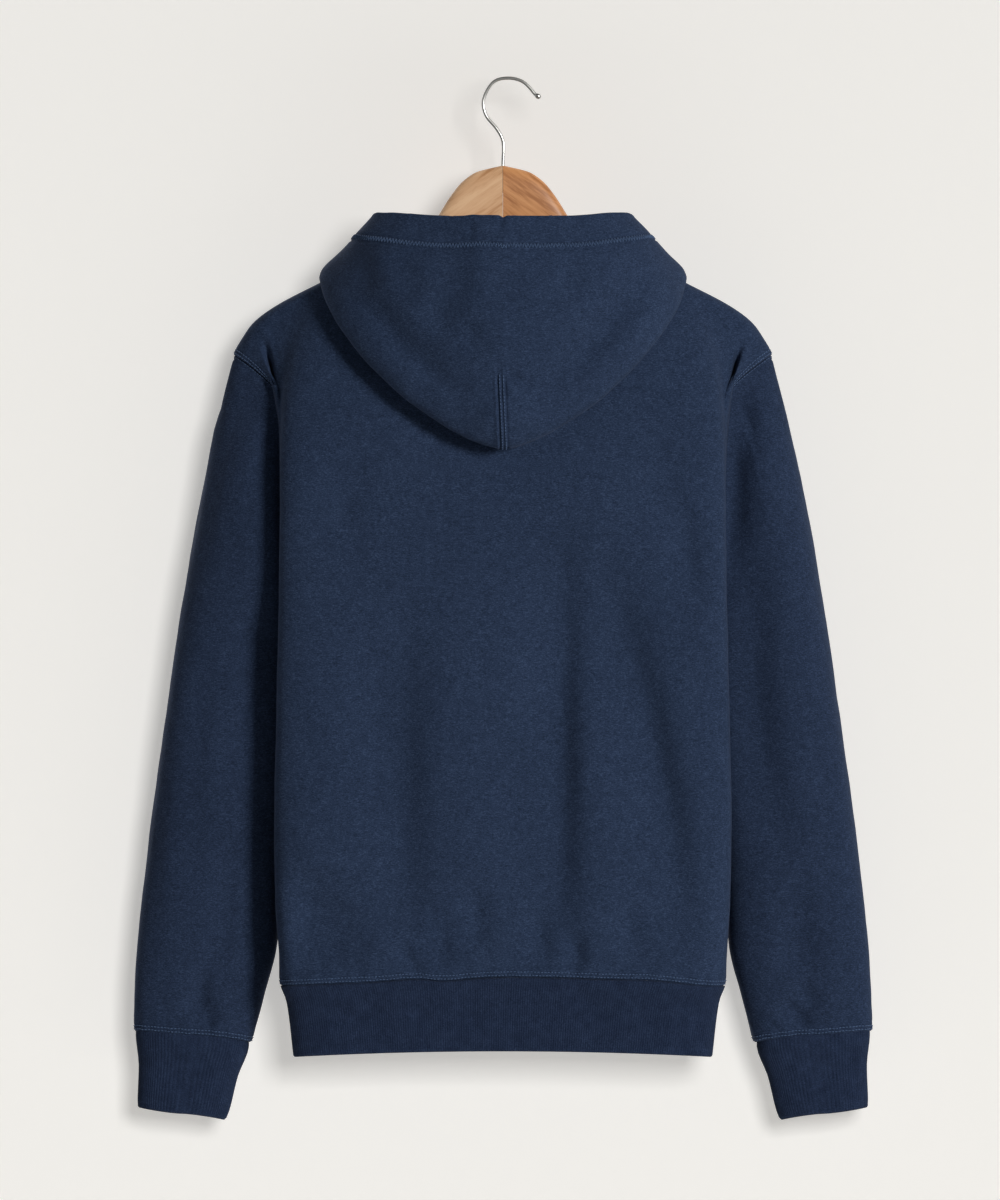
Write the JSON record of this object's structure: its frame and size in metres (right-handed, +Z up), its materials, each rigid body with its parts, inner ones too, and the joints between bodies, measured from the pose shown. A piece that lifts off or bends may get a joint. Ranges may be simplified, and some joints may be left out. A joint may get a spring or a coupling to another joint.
{
  "type": "pullover hoodie on a wooden hanger",
  "caption": "Long-sleeved fleece pullover with a hood hanging open down the back, ribbed cuffs and hem, hung on a contoured wooden hanger with a wire hook.",
  "frame": {"origin": "inside top of the hook, where a rail carries the hanger", "axes": "+Z up, the front of the garment faces -Y and the wearer's left side is +X; the picture looks along -Y at its back"},
  "size_m": [0.629, 0.1844, 0.8859],
  "materials": {
    "fleece": "brushed navy fleece, matt with a soft nap",
    "rib_knit": "navy rib knit, matt",
    "light_wood": "light wood, thin satin lacquer",
    "dark_wood": "the other half of the same wood, its grain turned darker, satin lacquer",
    "hook_steel": "plated steel wire, satin"
  },
  "bodies": {
    "root": {"body_back": "fleece", "body_front": "fleece", "hood": "fleece", "sleeve_left": "fleece", "sleeve_right": "fleece", "cuff_left": "rib_knit", "cuff_right": "rib_knit", "hem_band": "rib_knit", "hanger_arm_left": "light_wood", "hanger_arm_right": "dark_wood", "hanger_hook": "hook_steel"}
  },
  "joints": []
}
